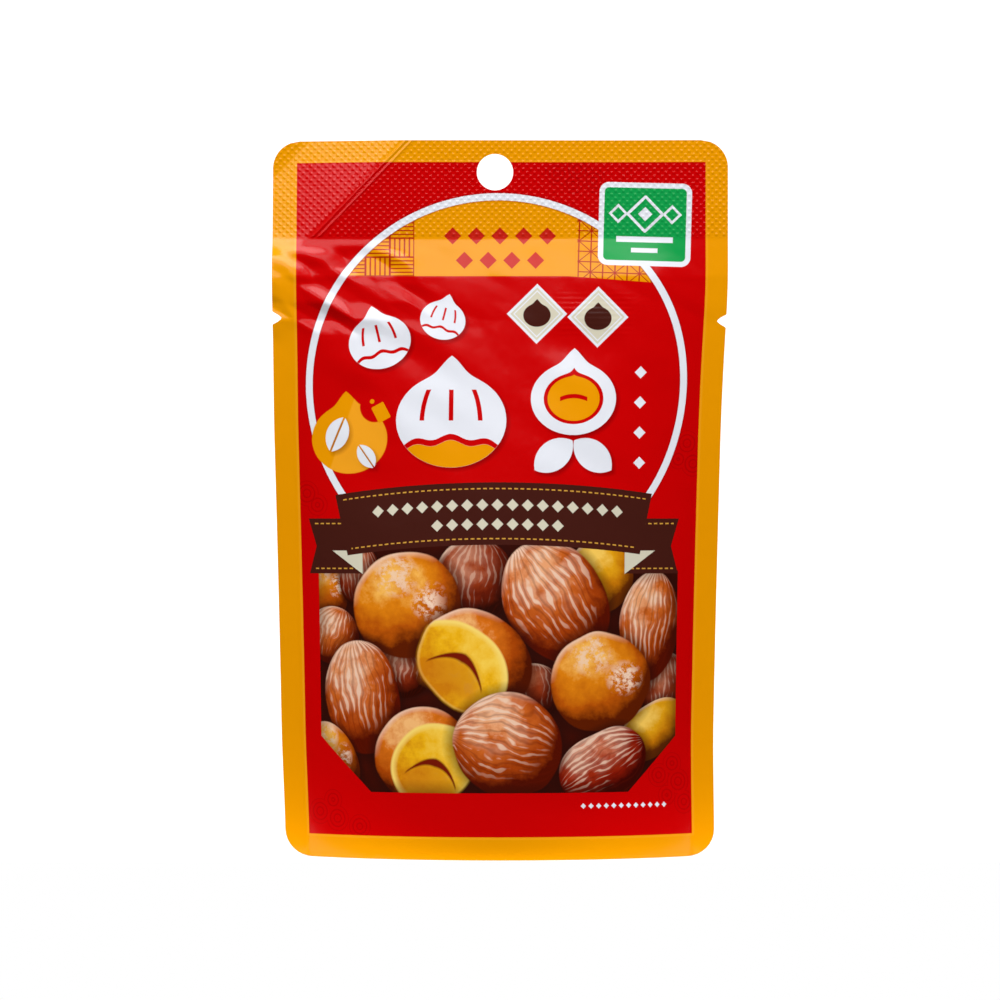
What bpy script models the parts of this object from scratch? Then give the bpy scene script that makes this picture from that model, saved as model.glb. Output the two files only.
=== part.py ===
"""A shut stand-up pouch of peeled roasted chestnuts.

Metres, +Z up. The front of the pouch looks along -Y, its width runs along X, and it stands on
the rim of its opened bottom gusset at z = 0. The chestnuts inside can't be seen, so the pouch is
one solid: two films that meet in flat seals at the sides and the top, and bulge between them.
"""

import math

import bmesh
import bpy
from mathutils import Matrix

# The flat film
HALF_WIDTH = 0.050
HEIGHT = 0.157
CORNER_RADIUS = 0.006
SIDE_SEAL_WIDTH = 0.005
SEAL_THICKNESS = 0.0006

# The filled belly, measured on one film from the plane of the seals
BELLY_HALF_WIDTH = HALF_WIDTH - SIDE_SEAL_WIDTH
TOP_SEAL_FOOT = 0.1355
BASE_BULGE = 0.0143
WEDGE_POWER = 1.45
WEDGE_ROUNDING = 0.6
SHOULDER_LENGTH = 0.0135

# The shallow recess under the opened gusset
RIM_WALL = 0.0009
GUSSET_DEPTH = 0.0035
GUSSET_TIP_RISE = 0.0065
GUSSET_TIP_START = 0.5
GUSSET_REACH = 0.92

# The hang hole and the two tear notches, die cut through the seals
HANG_HOLE_RADIUS = 0.004
HANG_HOLE_X = -0.0011
HANG_HOLE_BELOW_TOP = 0.0070
NOTCH_DEPTH = 0.0020
NOTCH_HALF_HEIGHT = 0.0014
NOTCHES = (
    {"name": "left", "side": -1, "z": 0.1179},
    {"name": "right", "side": 1, "z": 0.1173},
)

# How finely the films are divided
COLUMNS = 40
ROWS_IN_A_CORNER = 6
ROWS_BETWEEN = 40
GUSSET_COLUMNS = 26
GUSSET_ROWS = 6
CUTTER_LENGTH = 0.040
CUTTER_OVERHANG = 0.002
HOLE_SIDES = 32
FLAT_ANGLE = math.radians(0.05)
CREASE_ANGLE = math.radians(15)

FILM_RED = (0.62, 0.004, 0.004, 1.0)
FILM_ROUGHNESS = 0.32


def clear_scene():
    """Start from an empty scene."""
    for scene_object in list(bpy.data.objects):
        bpy.data.objects.remove(scene_object, do_unlink=True)


def new_collection(name):
    """Add a collection to the scene."""
    collection = bpy.data.collections.new(name)
    bpy.context.scene.collection.children.link(collection)
    return collection


def film_material():
    """Glossy printed film, mostly red."""
    material = bpy.data.materials.new("red_film")
    material.use_nodes = True
    shader = material.node_tree.nodes["Principled BSDF"]
    shader.inputs["Base Color"].default_value = FILM_RED
    shader.inputs["Roughness"].default_value = FILM_ROUGHNESS
    shader.inputs["Metallic"].default_value = 0.0
    return material


def bulge(z):
    """How far the middle of one film stands out of the seal plane at height z."""
    if z >= TOP_SEAL_FOOT:
        return 0.0
    wedge = (1.0 - (z / TOP_SEAL_FOOT) ** WEDGE_POWER) ** WEDGE_ROUNDING
    shoulder = 1.0 - math.exp(-(((TOP_SEAL_FOOT - z) / SHOULDER_LENGTH) ** 2))
    return BASE_BULGE * wedge * shoulder


def film_height_fractions():
    """Heights of the film's rows, closer together round the four corners."""
    steps = [i / ROWS_IN_A_CORNER for i in range(ROWS_IN_A_CORNER)]
    corner = [CORNER_RADIUS * (1.0 - math.cos(step * math.pi / 2)) for step in steps]
    straight = HEIGHT - 2 * CORNER_RADIUS
    middle = [CORNER_RADIUS + straight * i / ROWS_BETWEEN for i in range(ROWS_BETWEEN + 1)]
    upper = [HEIGHT - z for z in reversed(corner)]
    return corner + middle + upper


def half_width_at(z):
    """Half of the flat film's width at height z, with its corners cut round."""
    from_end = min(z, HEIGHT - z)
    if from_end >= CORNER_RADIUS:
        return HALF_WIDTH
    rise = CORNER_RADIUS - from_end
    return HALF_WIDTH - CORNER_RADIUS + math.sqrt(max(CORNER_RADIUS**2 - rise**2, 0.0))


def film_point(across, z, side):
    """Where a point of the flat film lies on the filled pouch.

    The belly is a parabola between the side seals. Its arc keeps the film's own length, so
    the seals draw in as it bulges.
    """
    distance = abs(across)
    share = min(distance / BELLY_HALF_WIDTH, 1.0)
    depth = bulge(z)
    draw_in = (2.0 / 3.0) * (depth / BELLY_HALF_WIDTH) ** 2
    in_belly = BELLY_HALF_WIDTH * share * (1.0 - draw_in * share**2)
    in_seal = max(distance - BELLY_HALF_WIDTH, 0.0)
    x = math.copysign(in_belly + in_seal, across)
    y = side * (SEAL_THICKNESS / 2 + depth * (1.0 - share**2))
    return x, y, z


def pouch_body(collection):
    """The filled pouch: a sheet and its copy, joined round the edge and laid on both films."""
    heights = film_height_fractions()
    mesh_builder = bmesh.new()
    bmesh.ops.create_grid(
        mesh_builder, x_segments=COLUMNS, y_segments=len(heights) - 1, size=1.0
    )
    front = list(mesh_builder.verts)
    copied = bmesh.ops.extrude_face_region(mesh_builder, geom=list(mesh_builder.faces))
    back = [item for item in copied["geom"] if isinstance(item, bmesh.types.BMVert)]
    for verts, side in ((front, -1), (back, 1)):
        for vert in verts:
            row = round((vert.co.y + 1.0) / 2.0 * (len(heights) - 1))
            z = heights[row]
            vert.co = film_point(vert.co.x * half_width_at(z), z, side)
    bmesh.ops.recalc_face_normals(mesh_builder, faces=list(mesh_builder.faces))
    bmesh.ops.dissolve_limit(
        mesh_builder,
        angle_limit=FLAT_ANGLE,
        verts=list(mesh_builder.verts),
        edges=list(mesh_builder.edges),
    )
    mesh = bpy.data.meshes.new("pouch")
    mesh_builder.to_mesh(mesh)
    mesh_builder.free()
    mesh.materials.append(film_material())
    pouch = bpy.data.objects.new("pouch", mesh)
    collection.objects.link(pouch)
    return pouch


def cutter_object(name, mesh_builder, collection):
    """A finished cutter, kept out of renders."""
    bmesh.ops.recalc_face_normals(mesh_builder, faces=list(mesh_builder.faces))
    mesh = bpy.data.meshes.new(name)
    mesh_builder.to_mesh(mesh)
    mesh_builder.free()
    cutter = bpy.data.objects.new(name, mesh)
    cutter.hide_render = True
    cutter.display_type = "WIRE"
    collection.objects.link(cutter)
    return cutter


def gusset_ceiling(share):
    """Height of the recess: low in the middle and folded up toward its two tips."""
    toward_tip = max(abs(share) - GUSSET_TIP_START, 0.0) / (1.0 - GUSSET_TIP_START)
    return GUSSET_DEPTH + GUSSET_TIP_RISE * toward_tip**2


def gusset_cutter(collection):
    """A lens between the two rims, with the shape of the gusset film as its ceiling."""
    mesh_builder = bmesh.new()
    bmesh.ops.create_grid(
        mesh_builder, x_segments=GUSSET_COLUMNS, y_segments=GUSSET_ROWS, size=1.0
    )
    ceiling = list(mesh_builder.verts)
    copied = bmesh.ops.extrude_face_region(mesh_builder, geom=list(mesh_builder.faces))
    floor = [item for item in copied["geom"] if isinstance(item, bmesh.types.BMVert)]
    for verts, is_ceiling in ((ceiling, True), (floor, False)):
        for vert in verts:
            share_x, share_y = vert.co.x, vert.co.y
            across = share_x * GUSSET_REACH * BELLY_HALF_WIDTH
            x, rim, _ = film_point(across, 0.0, 1)
            z = gusset_ceiling(share_x) if is_ceiling else -CUTTER_OVERHANG
            vert.co = (x, share_y * (rim - RIM_WALL), z)
    return cutter_object("gusset_recess", mesh_builder, collection)


def hang_hole_cutter(collection):
    """A round punch through the top seal."""
    turn = Matrix.Rotation(math.pi / 2, 4, "X")
    place = Matrix.Translation((HANG_HOLE_X, 0.0, HEIGHT - HANG_HOLE_BELOW_TOP))
    mesh_builder = bmesh.new()
    bmesh.ops.create_cone(
        mesh_builder,
        cap_ends=True,
        segments=HOLE_SIDES,
        radius1=HANG_HOLE_RADIUS,
        radius2=HANG_HOLE_RADIUS,
        depth=CUTTER_LENGTH,
        matrix=place @ turn,
    )
    return cutter_object("hang_hole", mesh_builder, collection)


def seal_edge_x(z):
    """Where the outer edge of a side seal lies at height z, as a distance from the middle."""
    return film_point(HALF_WIDTH, z, 1)[0]


def tear_notch_cutter(notch, collection):
    """A diamond punch centred on the pouch's edge, so that its inner point makes the notch."""
    centre = Matrix.Translation((notch["side"] * seal_edge_x(notch["z"]), 0.0, notch["z"]))
    stretch = Matrix.Diagonal((NOTCH_DEPTH, 1.0, NOTCH_HALF_HEIGHT, 1.0))
    turn = Matrix.Rotation(math.pi / 2, 4, "X")
    mesh_builder = bmesh.new()
    bmesh.ops.create_cone(
        mesh_builder,
        cap_ends=True,
        segments=4,
        radius1=1.0,
        radius2=1.0,
        depth=CUTTER_LENGTH,
        matrix=centre @ stretch @ turn,
    )
    return cutter_object("tear_notch_" + notch["name"], mesh_builder, collection)


def cut(target, cutters):
    """Subtract each cutter from the target."""
    for cutter in cutters:
        modifier = target.modifiers.new(cutter.name, "BOOLEAN")
        modifier.operation = "DIFFERENCE"
        modifier.solver = "EXACT"
        modifier.object = cutter


def shade(pouch):
    """Smooth films with sharp seal edges."""
    pouch.data.shade_smooth()
    pouch.data.set_sharp_from_angle(angle=CREASE_ANGLE)


def build():
    """Model the pouch."""
    clear_scene()
    parts = new_collection("chestnut_pouch")
    cutters = new_collection("cutters")
    pouch = pouch_body(parts)
    shade(pouch)
    notches = [tear_notch_cutter(notch, cutters) for notch in NOTCHES]
    cut(pouch, [gusset_cutter(cutters), hang_hole_cutter(cutters)] + notches)


build()
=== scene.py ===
import math

import bpy
import numpy as np
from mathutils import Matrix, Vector


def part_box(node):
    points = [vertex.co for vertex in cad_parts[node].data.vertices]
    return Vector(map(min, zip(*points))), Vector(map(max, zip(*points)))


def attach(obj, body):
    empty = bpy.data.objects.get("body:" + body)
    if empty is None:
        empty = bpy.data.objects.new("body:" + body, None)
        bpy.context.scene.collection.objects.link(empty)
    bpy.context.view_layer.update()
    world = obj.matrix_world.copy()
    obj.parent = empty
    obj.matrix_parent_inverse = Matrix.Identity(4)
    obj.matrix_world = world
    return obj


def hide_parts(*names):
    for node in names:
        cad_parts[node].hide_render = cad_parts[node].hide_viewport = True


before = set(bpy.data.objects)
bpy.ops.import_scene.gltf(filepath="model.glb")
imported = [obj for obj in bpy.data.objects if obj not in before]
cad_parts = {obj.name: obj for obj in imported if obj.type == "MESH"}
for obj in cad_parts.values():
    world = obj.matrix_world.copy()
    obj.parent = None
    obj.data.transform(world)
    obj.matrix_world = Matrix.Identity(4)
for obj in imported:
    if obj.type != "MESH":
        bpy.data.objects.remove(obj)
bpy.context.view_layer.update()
MM = 0.001

# The pouch's film, from the frame's box and the maker's sizes (metres)
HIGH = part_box("pouch")[1]
HALF_WIDTH = HIGH[0]
HEIGHT = HIGH[2]
SIDE_SEAL = 5 * MM
SEAL_HALF_THICKNESS = 0.3 * MM
BELLY_HALF_WIDTH = HALF_WIDTH - SIDE_SEAL
BASE_BULGE = HIGH[1] - SEAL_HALF_THICKNESS
TOP_SEAL_HEIGHT = 21.5 * MM
TOP_SEAL_FOOT = HEIGHT - TOP_SEAL_HEIGHT
WEDGE_POWER = 1.45
WEDGE_ROUNDING = 0.6
SHOULDER_LENGTH = 13.5 * MM
CLOSED_FOOT = 127 * MM
LIFT_POWER = 1.22
BELLY_SHIFT = 0.55 * MM
BELLY_SHIFT_ZONE = ((0, 30 * MM), (90 * MM, 130 * MM))
CORNER_RADIUS = 6 * MM
FILM_THICKNESS = 0.2 * MM
SEAL_GAP = 0.02 * MM
SHARP_ANGLE = math.radians(50)

# How the seal stands back and the film under it slopes forward, less toward the right
STEP_BACK = 1.0 * MM
STEP_FORWARD = 0.9 * MM
STEP_EASE_FOOT = 50 * MM
STEP_FADE = 0.65
STEP_FADE_SPAN = (24 * MM, 42 * MM)

# What handling has left in the films: facets, dents and a swelling, which die out near the
# rim and where the films meet, and shards, which move both films together
FRONT_FACETS = {"cell": 9 * MM, "height": 0.42 * MM, "seed": 11}
FRONT_ZONE = ((60 * MM, 100 * MM), (131 * MM, 136 * MM))
FRONT_LEFT = (-5 * MM, 25 * MM)
FRONT_SHARE_AT_RIGHT = 0.4
FRONT_DENTS = (
    {"centre": (-24 * MM, 84 * MM), "size": (9 * MM, 7 * MM), "height": -0.35 * MM},
    {"centre": (16 * MM, 112 * MM), "size": (14 * MM, 5 * MM), "height": -0.3 * MM, "turn": 0.1},
    {"centre": (20 * MM, 12 * MM), "size": (16 * MM, 9 * MM), "height": -0.5 * MM, "turn": 0.3},
)
SHARD_FACETS = {"cell": 4.5 * MM, "height": 0.55 * MM, "seed": 3}
SHARD_ZONE = ((110 * MM, 120 * MM), (131 * MM, 134 * MM))
SHARD_LEFT = (8 * MM, 28 * MM)
SHARD_SHARE_AT_RIGHT = 0.12
BACK_FACETS = {"cell": 13 * MM, "height": 0.25 * MM, "seed": 5}
BACK_ZONE = ((20 * MM, 60 * MM), (128 * MM, 136 * MM))
BACK_SWELLING = {"centre": (12 * MM, 60 * MM), "size": (18 * MM, 26 * MM), "height": 0.5 * MM}
FREE_LIFT = 1.5 * MM
FREE_ABOVE_RIM = 12 * MM
FACET_NET = 64
FACET_ROW = 0.87

# Die cuts
HANG_HOLE = (-1.1 * MM, HEIGHT - 7.0 * MM)
HANG_HOLE_RADIUS = 4 * MM
HOLE_INNER_CELLS = 7
HOLE_OUTER_CELLS = 15
NOTCH_DEPTH = 2.0 * MM
NOTCH_HALF_HEIGHT = 1.4 * MM
NOTCH_HEIGHTS = {-1: 117.9 * MM, 1: 117.3 * MM}
CUT_BAND = 40 * MM

# Bands of the film's grid: the height where each starts and ends, and how many rows it has
CORNER_ROWS = 9
BELLY_ROWS = (CORNER_RADIUS, 114 * MM, 78)
NOTCH_ROWS = (114 * MM, 121.2 * MM, 21)
SHOULDER_ROWS = (121.2 * MM, TOP_SEAL_FOOT, 28)

# The waffle pressed into the top seal
WAFFLE_DOTS = 59
WAFFLE_PITCH = 2 * HALF_WIDTH / WAFFLE_DOTS
WAFFLE_ROWS = 27
WAFFLE_ROW = TOP_SEAL_HEIGHT / WAFFLE_ROWS
WAFFLE_START = (TOP_SEAL_FOOT - 0.2 * MM, TOP_SEAL_FOOT + 0.4 * MM)
WAFFLE_HEIGHT = 0.03 * MM
WAFFLE_BUMP = 0.06 * MM
CELLS_PER_DOT = 4
CELL_WIDTH = WAFFLE_PITCH / CELLS_PER_DOT

# The top seal's crease, past which its corner lies back, and the slow wave along the seal
CREASE = {"point": (-25.9 * MM, 152.4 * MM), "turn": 136, "slope": 0.26, "length": 15 * MM}
CREASE_SOFTNESS = 0.25 * MM
SEAL_BEND_START = (TOP_SEAL_FOOT - 8 * MM, TOP_SEAL_FOOT + 2 * MM)
SEAL_WAVE = 0.3 * MM
SEAL_WAVE_LENGTH = 15 * MM

# The laminate's finish, in millimetres of flat film
CREASE_RIDGES = {"beside": 1.1, "apart": 0.5, "half_width": 0.15, "soft": 0.6, "height": 0.16}
RIBS = {"centre": (21.0, 118.5), "half": (8.0, 4.5), "pitch": 1.1, "soft": 3.0, "height": 0.008}
RIPPLE_SCALE = 0.12
RIPPLE_HEIGHT = 0.12
SMEAR_SCALE = 0.9
SMEAR = 0.1
LEAST_ROUGHNESS = 0.12
FILM_SPECULAR = 0.22

# The opened gusset
GUSSET_REACH = 0.985
GUSSET_CEILING = 3.6 * MM
GUSSET_TIP_RISE = 6.0 * MM
GUSSET_TIP_START = 0.5
GUSSET_ROUND = 1.6 * MM
GUSSET_CLEARANCE = 0.12 * MM
GUSSET_ABOVE_FLOOR = 0.05 * MM
GUSSET_LEAST_DEPTH = 0.02 * MM
GUSSET_SAG = 0.5 * MM
GUSSET_FOLD = 0.35 * MM
GUSSET_FOLD_WIDTH = 0.5 * MM
GUSSET_THICKNESS = 0.14 * MM

# Where the photograph was taken from
CAMERA_DISTANCE = 1.1
CAMERA_HEIGHT = 78.05 * MM
PHOTO_PIXELS = 1000
PIXELS_PER_METRE = 4560
SENSOR_WIDTH = 36.0

# White paper (metres). It ends close in front of the pouch, so that the film hardly mirrors it.
PAPER_FRONT = -17 * MM
PAPER_CURVE_START = 0.6
PAPER_CURVE_RADIUS = 0.7
PAPER_TOP = 2.2
PAPER_HALF_WIDTH = 2.6
PAPER_GREY = 0.35
PAPER_GLOW = 0.8

# The white room: how bright it is beyond the paper, and how little of it lights the film
ROOM_AS_SEEN = 1.0
ROOM_LIGHT = 0.02

# Lamps: where each is, the point that it faces, its two sides (metres) and its power (watts)
POUCH_MIDDLE = (0, 0, 0.08)
SOFTBOXES = {
    "front_top_softbox": ((-0.14, -0.82, 0.56), POUCH_MIDDLE, (0.64, 0.21), 1.6),
    "overhead_softbox": ((0.0, -0.75, 1.05), POUCH_MIDDLE, (1.3, 0.5), 17.6),
    "left_softbox": ((-0.95, -0.6, 1.3), POUCH_MIDDLE, (0.5, 0.6), 5.8),
    "right_softbox": ((0.95, -0.6, 1.3), POUCH_MIDDLE, (0.5, 0.6), 4.9),
    "backdrop_light": ((0, 0.35, 1.3), (0, 1.0, 0.3), (2.0, 0.6), 12),
}


def srgb(red, green, blue):
    """An ink named by its 0 to 255 display values, as the shader's linear colour."""
    parts = [value / 255 for value in (red, green, blue)]
    linear = [p / 12.92 if p <= 0.04045 else ((p + 0.055) / 1.055) ** 2.4 for p in parts]
    return (*linear, 1.0)


RED = srgb(200, 0, 2)
DEEP_RED = srgb(140, 0, 4)
SHADOW_RED = srgb(104, 0, 2)
LINE_RED = srgb(176, 30, 10)
MARK_RED = srgb(196, 32, 20)
AMBER = srgb(234, 151, 0)
PALE_AMBER = srgb(252, 172, 48)
WHITE = srgb(231, 233, 241)
CREAM = srgb(214, 208, 186)
PANEL_CREAM = srgb(245, 238, 220)
RULE_BROWN = srgb(170, 130, 96)
STREAK_AMBER = srgb(214, 128, 4)
BROWN = srgb(68, 27, 20)
DARK_BROWN = srgb(38, 12, 8)
GAP_BROWN = srgb(62, 14, 6)
GREEN = srgb(18, 156, 74)
THREAD = srgb(212, 156, 62)


# The film's shape

def smooth_step(value, start, end):
    """0 before start, 1 after end, and the cubic 3s² - 2s³ between."""
    share = np.clip((value - start) / (end - start), 0, 1)
    return share * share * (3 - 2 * share)


def zone(up, foot, head):
    """1 between two heights, eased in over the span foot and out over the span head."""
    return smooth_step(up, *foot) * (1 - smooth_step(up, *head))


def taken_up(up):
    """The bulge that sets how far the side seals draw in at height up: a wedge that opens
    downward from the top seal, times a shoulder that eases out of the seal."""
    share = np.clip(up / TOP_SEAL_FOOT, 0, 1)
    wedge = (1 - share**WEDGE_POWER) ** WEDGE_ROUNDING
    below = np.maximum(TOP_SEAL_FOOT - up, 0)
    return BASE_BULGE * wedge * (1 - np.exp(-((below / SHOULDER_LENGTH) ** 2)))


def belly_lift(up):
    """How far the middle of one film stands out: a wedge that opens below the closed foot, as
    the bulge times 1 minus a power of the height."""
    return BASE_BULGE * (1 - np.minimum(up / CLOSED_FOOT, 1) ** LIFT_POWER)


def lean(across, up):
    """How far both films lie forward: the seal stands back, the film under it slopes forward
    at one angle, and below that the pouch eases back to its middle. Part of it fades out toward
    the right."""
    slope = np.clip((TOP_SEAL_FOOT - up) / (TOP_SEAL_FOOT - CLOSED_FOOT), 0, 1)
    ease = smooth_step(up, STEP_EASE_FOOT, CLOSED_FOOT)
    ease = ease * (1 - STEP_FADE * smooth_step(across, *STEP_FADE_SPAN))
    return (STEP_BACK + STEP_FORWARD) * slope * ease - STEP_BACK * ease


def waffle(across, up):
    """Staggered dots: the product of a cosine across and a cosine up, from 0 to full height."""
    wave = np.cos(2 * np.pi * across / WAFFLE_PITCH) * np.cos(np.pi * (HEIGHT - up) / WAFFLE_ROW)
    return WAFFLE_HEIGHT * smooth_step(up, *WAFFLE_START) * (1 + wave) / 2


def fold(across, up, point, turn, slope, length, softness):
    """A soft hinge: past a line through point the film tips by slope, for a length. The lift is
    the difference of two ramps, each log(1 + e^(distance / softness)). turn is the direction
    past the line, in degrees."""
    aim = math.cos(math.radians(turn)), math.sin(math.radians(turn))
    past = (across - point[0]) * aim[0] + (up - point[1]) * aim[1]
    ramp = np.logaddexp(0, past / softness) - np.logaddexp(0, (past - length) / softness)
    return slope * softness * ramp


def dent(across, up, centre, size, height, turn=0.0):
    """A soft hollow or swelling: a Gaussian with its own length, width and turn in radians."""
    along = (across - centre[0]) * math.cos(turn) + (up - centre[1]) * math.sin(turn)
    beside = -(across - centre[0]) * math.sin(turn) + (up - centre[1]) * math.cos(turn)
    return height * np.exp(-((along / size[0]) ** 2) - (beside / size[1]) ** 2)


def crumple(across, up, cell, height, seed):
    """Flat facets: heights drawn at the corners of a triangular net, and planes between. The
    net's columns start 20 cells left of the middle, and its rows 2 cells below the rim."""
    draw = np.random.default_rng(seed)
    heights = draw.uniform(-1, 1, (FACET_NET, FACET_NET))
    column = (across + 0.5 * up) / cell + 20
    row = up / (FACET_ROW * cell) + 2
    i, j = np.floor(column).astype(int), np.floor(row).astype(int)
    u, v = column - i, row - j
    upper = u + v > 1
    near = np.where(upper, heights[i + 1, j + 1], heights[i, j])
    along_u = np.where(upper, heights[i, j + 1], heights[i + 1, j])
    along_v = np.where(upper, heights[i + 1, j], heights[i, j + 1])
    share_u = np.where(upper, 1 - u, u)
    share_v = np.where(upper, 1 - v, v)
    return height * (near + (along_u - near) * share_u + (along_v - near) * share_v)


def front_relief(across, up):
    """What handling has left in the front film, outward positive: facets in its upper part,
    fewer toward the right, and three dents."""
    left = smooth_step(-across, *FRONT_LEFT)
    where = FRONT_SHARE_AT_RIGHT + (1 - FRONT_SHARE_AT_RIGHT) * left
    relief = crumple(across, up, **FRONT_FACETS) * where * zone(up, *FRONT_ZONE)
    for hollow in FRONT_DENTS:
        relief += dent(across, up, **hollow)
    return relief


def shards(across, up):
    """Sharp little facets in the film just below the top seal, mostly at its left end."""
    where = smooth_step(-across, *SHARD_LEFT) + SHARD_SHARE_AT_RIGHT
    return crumple(across, up, **SHARD_FACETS) * where * zone(up, *SHARD_ZONE)


def back_relief(across, up):
    """Softer facets and one swelling in the back film, outward positive."""
    facets = crumple(across, up, **BACK_FACETS) * zone(up, *BACK_ZONE)
    return facets + dent(across, up, **BACK_SWELLING)


def seal_bend(across, up):
    """How far the top seal lies back: a corner folded back and a slow wave along its width."""
    corner = fold(across, up, softness=CREASE_SOFTNESS, **CREASE)
    bend = corner + SEAL_WAVE * np.sin(across / SEAL_WAVE_LENGTH)
    return smooth_step(up, *SEAL_BEND_START) * bend


def film_place(across, up, side):
    """Where the flat film lies on the filled pouch: a parabola between the side seals whose arc
    keeps the film's own length, so that the seals draw in. The belly lies a little to the
    left. side is -1 in front and 1 behind."""
    distance = np.abs(across)
    share = np.minimum(distance / BELLY_HALF_WIDTH, 1)
    draw_in = 2 / 3 * (taken_up(up) / BELLY_HALF_WIDTH) ** 2
    in_belly = BELLY_HALF_WIDTH * share * (1 - draw_in * share**2)
    x = np.sign(across) * (in_belly + np.maximum(distance - BELLY_HALF_WIDTH, 0))
    x = x - BELLY_SHIFT * zone(up, *BELLY_SHIFT_ZONE)
    relief = front_relief(across, up) if side < 0 else back_relief(across, up)
    lift = belly_lift(up) * (1 - share**2)
    free = np.minimum(lift / FREE_LIFT, 1) * smooth_step(up, 0, FREE_ABOVE_RIM)
    outward = SEAL_GAP / 2 + FILM_THICKNESS + lift + relief * free
    both = seal_bend(across, up) - lean(across, up) - waffle(across, up) + shards(across, up)
    return np.stack([x, side * outward + both, up], axis=-1)


# Meshes

def row_heights():
    """Heights of the film's rows: close together round the corners, the notches and the waffle."""
    corner = CORNER_RADIUS * (1 - np.cos(np.linspace(0, np.pi / 2, CORNER_ROWS)))
    seal_rows = (TOP_SEAL_FOOT, HEIGHT, 2 * WAFFLE_ROWS + 1)
    bands = (BELLY_ROWS, NOTCH_ROWS, SHOULDER_ROWS, seal_rows)
    return np.concatenate([corner, *(np.linspace(*band)[1:] for band in bands)])


def cut_edge(up, side):
    """Half width of the flat film after die cutting: round corners and a pointed tear notch."""
    rise = np.maximum(CORNER_RADIUS - np.minimum(up, HEIGHT - up), 0)
    edge = HALF_WIDTH - CORNER_RADIUS + np.sqrt(np.maximum(CORNER_RADIUS**2 - rise**2, 0))
    from_notch = np.abs(up - NOTCH_HEIGHTS[side]) / NOTCH_HALF_HEIGHT
    return edge - NOTCH_DEPTH * np.clip(1 - from_notch**1.5, 0, 1)


def open_hole(across, up):
    """Press a square block of the grid outward onto the hang hole's circle. Gives the moved grid
    and which of its cells stay."""
    centre_column = np.argmin(np.abs(across[0] - HANG_HOLE[0]))
    centre_row = np.argmin(np.abs(up[:, 0] - HANG_HOLE[1]))
    rows, columns = np.indices(across.shape)
    ring = np.maximum(np.abs(rows - centre_row), np.abs(columns - centre_column))
    share = np.clip((ring - HOLE_INNER_CELLS) / (HOLE_OUTER_CELLS - HOLE_INNER_CELLS), 0, 1)
    step = CELL_WIDTH, WAFFLE_ROW / 2
    outward = (columns - centre_column) * step[0], (rows - centre_row) * step[1]
    length = np.maximum(np.hypot(*outward), 1e-9)
    stretch = HOLE_OUTER_CELLS / np.maximum(ring, 1)
    near = (ring <= HOLE_OUTER_CELLS) & (ring >= HOLE_INNER_CELLS)
    moved = []
    for flat, out, hole, middle in zip(
        (across, up), outward, HANG_HOLE, (across[0, centre_column], up[centre_row, 0])
    ):
        on_circle = hole + HANG_HOLE_RADIUS * out / length
        on_square = middle + out * stretch
        moved.append(np.where(near, on_circle * (1 - share) + on_square * share, flat))
    cell_ring = np.maximum.reduce([ring[:-1, :-1], ring[1:, :-1], ring[:-1, 1:], ring[1:, 1:]])
    return moved[0], moved[1], cell_ring > HOLE_INNER_CELLS


def film_grid():
    """The flat film's grid of points, its die-cut edges and which cells are film."""
    heights = row_heights()
    columns = np.linspace(-HALF_WIDTH, HALF_WIDTH, WAFFLE_DOTS * CELLS_PER_DOT + 1)
    across, up = np.meshgrid(columns, heights)
    across, up, kept = open_hole(across, up)
    for side in (-1, 1):
        outer = across * side > CUT_BAND
        squeeze = (cut_edge(up, side) - CUT_BAND) / (HALF_WIDTH - CUT_BAND)
        across = np.where(outer, side * (CUT_BAND + (across * side - CUT_BAND) * squeeze), across)
    return across, up, kept


def grid_faces(rows, columns, kept=None):
    """Quads of a grid of points, left out where kept is false."""
    index = np.arange(rows * columns).reshape(rows, columns)
    quads = np.stack([index[:-1, :-1], index[:-1, 1:], index[1:, 1:], index[1:, :-1]], axis=-1)
    return quads.reshape(-1, 4) if kept is None else quads[kept]


def surface_normals(points):
    """Unit normals of a grid of points, from the cross product of its two directions."""
    normal = np.cross(np.gradient(points, axis=1), np.gradient(points, axis=0))
    return normal / np.maximum(np.linalg.norm(normal, axis=-1, keepdims=True), 1e-12)


def closed_shell(points, faces, offset):
    """A thin wall: the faces, a copy of them moved by offset and turned over, and a strip of
    quads along every edge that only one face uses."""
    count = len(points)
    edges = np.concatenate([faces[:, [k, (k + 1) % 4]] for k in range(4)])
    forward = edges[:, 0] * count + edges[:, 1]
    backward = edges[:, 1] * count + edges[:, 0]
    rim = edges[~np.isin(forward, backward)]
    strip = np.stack([rim[:, 1], rim[:, 0], rim[:, 0] + count, rim[:, 1] + count], axis=-1)
    return np.concatenate([points, points + offset]), np.concatenate(
        [faces, faces[:, ::-1] + count, strip]
    )


def mesh_piece(name, points, faces, film, materials, material_of_face=None):
    """A smooth mesh with its flat film coordinates, in millimetres, as the UV map named film."""
    used, flat_faces = np.unique(faces, return_inverse=True)
    points, film, faces = points[used], film[used], flat_faces.reshape(faces.shape)
    mesh = bpy.data.meshes.new(name)
    mesh.from_pydata(points.tolist(), [], faces.tolist())
    layer = mesh.uv_layers.new(name="film")
    layer.data.foreach_set("uv", film[faces].astype(np.float32).ravel())
    for material in materials:
        mesh.materials.append(material)
    if material_of_face is not None:
        mesh.polygons.foreach_set("material_index", material_of_face.astype(np.int32))
    mesh.validate()
    mesh.shade_smooth()
    mesh.set_sharp_from_angle(angle=SHARP_ANGLE)
    piece = bpy.data.objects.new(name, mesh)
    bpy.context.scene.collection.objects.link(piece)
    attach(piece, "root")
    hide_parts("pouch")


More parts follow.
